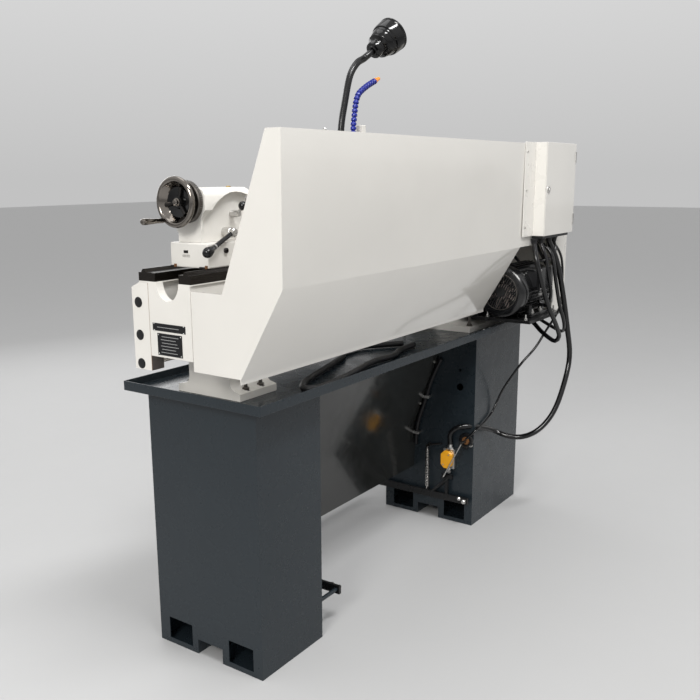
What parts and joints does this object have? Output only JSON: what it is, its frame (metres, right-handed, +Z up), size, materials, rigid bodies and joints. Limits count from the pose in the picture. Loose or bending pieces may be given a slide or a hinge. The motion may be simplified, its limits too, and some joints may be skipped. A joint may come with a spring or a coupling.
{
  "type": "engine lathe",
  "caption": "Gap-less engine lathe on a two-pedestal stand, with headstock, chuck, carriage, tailstock, splash guard, motor, electrical box, work lamp and foot brake.",
  "frame": {"origin": "on the floor under the middle of the machine's bounding box", "axes": "+X from headstock to tailstock, +Y from the operator to the splash guard, +Z up"},
  "size_m": [1.714, 0.6948, 1.6542],
  "materials": {
    "cream_paint": "gloss",
    "blue_grey_paint": "gloss",
    "black_enamel": "satin",
    "ground_steel": "ground",
    "dark_steel": "satin",
    "chrome": "polished",
    "black_rubber": "matte",
    "black_plastic": "gloss",
    "yellow_plastic": "satin",
    "blue_plastic": "satin"
  },
  "bodies": {
    "frame": {"tail_pedestal": "blue_grey_paint", "head_pedestal": "blue_grey_paint", "stand_panel": "blue_grey_paint", "chip_tray": "blue_grey_paint", "bed": "cream_paint", "leadscrew_bracket": "cream_paint", "headstock": "cream_paint", "headstock_lid": "cream_paint", "rear_bearing": "ground_steel", "front_bearing": "ground_steel", "feed_gearbox": "cream_paint", "motor_body": "black_enamel", "motor_fan_cowl": "black_enamel", "motor_mount": "black_enamel", "drive_belt": "black_rubber", "splash_guard": "cream_paint", "electrical_box": "cream_paint", "limit_switch": "yellow_plastic"},
    "spindle": {"spindle": "ground_steel", "spindle_gear": "dark_steel", "stud_gear": "dark_steel", "chuck_body": "ground_steel"},
    "jaw_1": {"chuck_jaw_1": "dark_steel"},
    "jaw_2": {"chuck_jaw_2": "dark_steel"},
    "jaw_3": {"chuck_jaw_3": "dark_steel"},
    "input_shaft": {"input_shaft": "dark_steel"},
    "idler_gear": {"idler_gear": "dark_steel"},
    "feed_gear": {"feed_gear": "dark_steel"},
    "motor_rotor": {"motor_pulley": "dark_steel"},
    "speed_lever": {"speed_lever": "chrome"},
    "feed_selector": {"feed_selector": "chrome"},
    "end_cover": {"end_cover": "cream_paint"},
    "electrical_door": {"electrical_door": "cream_paint"},
    "leadscrew": {"leadscrew": "ground_steel"},
    "feed_rod": {"feed_rod": "ground_steel"},
    "control_rod": {"control_rod": "ground_steel"},
    "carriage": {"saddle": "cream_paint", "apron": "cream_paint", "accessory_post": "cream_paint", "lamp_gooseneck": "black_enamel", "lamp_head": "black_enamel", "coolant_hose": "blue_plastic"},
    "carriage_handwheel": {"carriage_handwheel": "chrome"},
    "half_nut_lever": {"half_nut_lever": "chrome"},
    "start_lever": {"start_lever": "dark_steel"},
    "cross_slide": {"cross_slide": "ground_steel"},
    "cross_handle": {"cross_handle": "chrome"},
    "swivel": {"swivel_base": "ground_steel"},
    "top_slide": {"top_slide": "ground_steel"},
    "top_slide_handle": {"top_slide_handle": "chrome"},
    "tool_post": {"tool_post": "dark_steel"},
    "tool_post_lever": {"tool_post_lever": "chrome"},
    "tailstock": {"tailstock_base": "cream_paint", "tailstock_body": "cream_paint"},
    "quill": {"quill": "ground_steel"},
    "tailstock_handwheel": {"tailstock_handwheel": "chrome"},
    "handwheel_grip": {"handwheel_grip": "dark_steel"},
    "quill_lock_lever": {"quill_lock_lever": "black_plastic"},
    "tailstock_clamp_lever": {"tailstock_clamp_lever": "black_plastic"},
    "brake_treadle": {"brake_treadle": "black_enamel"}
  },
  "joints": [
    {"name": "spindle_spin", "type": "hinge", "parent": "frame", "child": "spindle", "pos_m": [-0.345, -0.027, 1.177], "axis": [1, 0, 0], "continuous": true},
    {"name": "jaw_1_slide", "type": "slide", "parent": "spindle", "child": "jaw_1", "axis": [0, 0, 1], "range_m": [-0.018, 0.015]},
    {"name": "jaw_2_slide", "type": "slide", "parent": "spindle", "child": "jaw_2", "axis": [0, -0.866, -0.5], "range_m": [-0.018, 0.015]},
    {"name": "jaw_3_slide", "type": "slide", "parent": "spindle", "child": "jaw_3", "axis": [0, 0.866, -0.5], "range_m": [-0.018, 0.015]},
    {"name": "input_shaft_spin", "type": "hinge", "parent": "frame", "child": "input_shaft", "pos_m": [-0.52, 0.04767, 1.10233], "axis": [1, 0, 0], "continuous": true},
    {"name": "idler_spin", "type": "hinge", "parent": "frame", "child": "idler_gear", "pos_m": [-0.756, -0.04683, 1.04913], "axis": [1, 0, 0], "continuous": true},
    {"name": "feed_gear_spin", "type": "hinge", "parent": "frame", "child": "feed_gear", "pos_m": [-0.756, -0.138, 0.945], "axis": [1, 0, 0], "continuous": true},
    {"name": "motor_spin", "type": "hinge", "parent": "frame", "child": "motor_rotor", "pos_m": [-0.814, 0.233, 0.852], "axis": [1, 0, 0], "continuous": true},
    {"name": "leadscrew_spin", "type": "hinge", "parent": "frame", "child": "leadscrew", "pos_m": [-0.3445, -0.122, 0.946], "axis": [1, 0, 0], "continuous": true},
    {"name": "feed_rod_spin", "type": "hinge", "parent": "frame", "child": "feed_rod", "pos_m": [-0.3445, -0.122, 0.868], "axis": [1, 0, 0], "continuous": true},
    {"name": "control_rod_turn", "type": "hinge", "parent": "frame", "child": "control_rod", "pos_m": [-0.3445, -0.122, 0.799], "axis": [1, 0, 0], "range_deg": [-30, 30]},
    {"name": "speed_lever_turn", "type": "hinge", "parent": "frame", "child": "speed_lever", "pos_m": [-0.44, -0.162, 1.13], "axis": [0, 1, 0], "range_deg": [-40, 40]},
    {"name": "feed_selector_turn", "type": "hinge", "parent": "frame", "child": "feed_selector", "pos_m": [-0.56, -0.214, 0.905], "axis": [0, 1, 0], "range_deg": [-45, 45]},
    {"name": "end_cover_hinge", "type": "hinge", "parent": "frame", "child": "end_cover", "pos_m": [-0.7285, 0.293, 0.748], "axis": [0, 0, 1], "range_deg": [-90, 0]},
    {"name": "electrical_door_hinge", "type": "hinge", "parent": "frame", "child": "electrical_door", "pos_m": [-0.728, 0.3548, 1.036], "axis": [0, 0, 1], "range_deg": [0, 90]},
    {"name": "carriage_slide", "type": "slide", "parent": "frame", "child": "carriage", "axis": [1, 0, 0], "range_m": [-0.25, 0.17]},
    {"name": "carriage_handwheel_spin", "type": "hinge", "parent": "carriage", "child": "carriage_handwheel", "pos_m": [0.105, -0.203, 0.925], "axis": [0, 1, 0], "range_deg": [-3371, 2293]},
    {"name": "half_nut_lever_turn", "type": "hinge", "parent": "carriage", "child": "half_nut_lever", "pos_m": [0.25, -0.203, 0.9], "axis": [0, 1, 0], "range_deg": [0, 35]},
    {"name": "start_lever_turn", "type": "hinge", "parent": "carriage", "child": "start_lever", "pos_m": [0.302, -0.122, 0.799], "axis": [1, 0, 0], "range_deg": [-30, 30]},
    {"name": "cross_handle_spin", "type": "hinge", "parent": "carriage", "child": "cross_handle", "pos_m": [0.175, -0.252, 1.04415], "axis": [0, 1, 0], "range_deg": [-7201, 2701]},
    {"name": "cross_slide_slide", "type": "slide", "parent": "carriage", "child": "cross_slide", "axis": [0, 1, 0], "range_m": [-0.08, 0.03]},
    {"name": "swivel_turn", "type": "hinge", "parent": "cross_slide", "child": "swivel", "pos_m": [0.16, -0.082, 1.092], "axis": [0, 0, 1], "range_deg": [-45, 30]},
    {"name": "top_slide_slide", "type": "slide", "parent": "swivel", "child": "top_slide", "axis": [1, 0, 0], "range_m": [-0.03, 0.03]},
    {"name": "top_slide_handle_spin", "type": "hinge", "parent": "top_slide", "child": "top_slide_handle", "pos_m": [0.2653, -0.082, 1.128], "axis": [1, 0, 0], "range_deg": [-2701, 2701]},
    {"name": "tool_post_turn", "type": "hinge", "parent": "top_slide", "child": "tool_post", "pos_m": [0.16, -0.082, 1.142], "axis": [0, 0, 1], "range_deg": [-90, 90]},
    {"name": "tool_post_lever_turn", "type": "hinge", "parent": "tool_post", "child": "tool_post_lever", "pos_m": [0.16, -0.082, 1.205], "axis": [0, 0, 1], "range_deg": [-60, 90]},
    {"name": "tailstock_slide", "type": "slide", "parent": "frame", "child": "tailstock", "axis": [1, 0, 0], "range_m": [-0.18, 0]},
    {"name": "quill_slide", "type": "slide", "parent": "tailstock", "child": "quill", "axis": [-1, 0, 0], "range_m": [0, 0.08]},
    {"name": "tailstock_handwheel_spin", "type": "hinge", "parent": "tailstock", "child": "tailstock_handwheel", "pos_m": [0.77, -0.027, 1.177], "axis": [-1, 0, 0], "range_deg": [0, 7200]},
    {"name": "handwheel_grip_spin", "type": "hinge", "parent": "tailstock_handwheel", "child": "handwheel_grip", "pos_m": [0.795, -0.0582, 1.1354], "axis": [1, 0, 0], "continuous": true},
    {"name": "quill_lock_turn", "type": "hinge", "parent": "tailstock", "child": "quill_lock_lever", "pos_m": [0.642, 0.0093, 1.146], "axis": [0, 1, 0], "range_deg": [-60, 30]},
    {"name": "tailstock_clamp_turn", "type": "hinge", "parent": "tailstock", "child": "tailstock_clamp_lever", "pos_m": [0.668, 0.0093, 1.104], "axis": [0, 1, 0], "range_deg": [-70, 5]},
    {"name": "brake_treadle_press", "type": "hinge", "parent": "frame", "child": "brake_treadle", "pos_m": [0, 0.128, 0.095], "axis": [1, 0, 0], "range_deg": [0, 7], "stiffness_Nm_per_rad": 70, "springref_deg": -28.65}
  ],
  "couplings": [
    {"joint": "jaw_2_slide", "follows": "jaw_1_slide", "ratio": 1},
    {"joint": "jaw_3_slide", "follows": "jaw_1_slide", "ratio": 1},
    {"joint": "input_shaft_spin", "follows": "spindle_spin", "ratio": -2},
    {"joint": "motor_spin", "follows": "spindle_spin", "ratio": -3.7895},
    {"joint": "idler_spin", "follows": "spindle_spin", "ratio": -0.3871},
    {"joint": "feed_gear_spin", "follows": "spindle_spin", "ratio": 0.8},
    {"joint": "leadscrew_spin", "follows": "spindle_spin", "ratio": 0.4},
    {"joint": "feed_rod_spin", "follows": "spindle_spin", "ratio": 0.1},
    {"joint": "control_rod_turn", "follows": "start_lever_turn", "ratio": 1},
    {"joint": "carriage_handwheel_spin", "follows": "carriage_slide", "rad_per_m": 235.29},
    {"joint": "cross_handle_spin", "follows": "cross_slide_slide", "rad_per_m": 1570.8},
    {"joint": "top_slide_handle_spin", "follows": "top_slide_slide", "rad_per_m": 1570.8},
    {"joint": "quill_slide", "follows": "tailstock_handwheel_spin", "m_per_rad": 0.0006366}
  ]
}
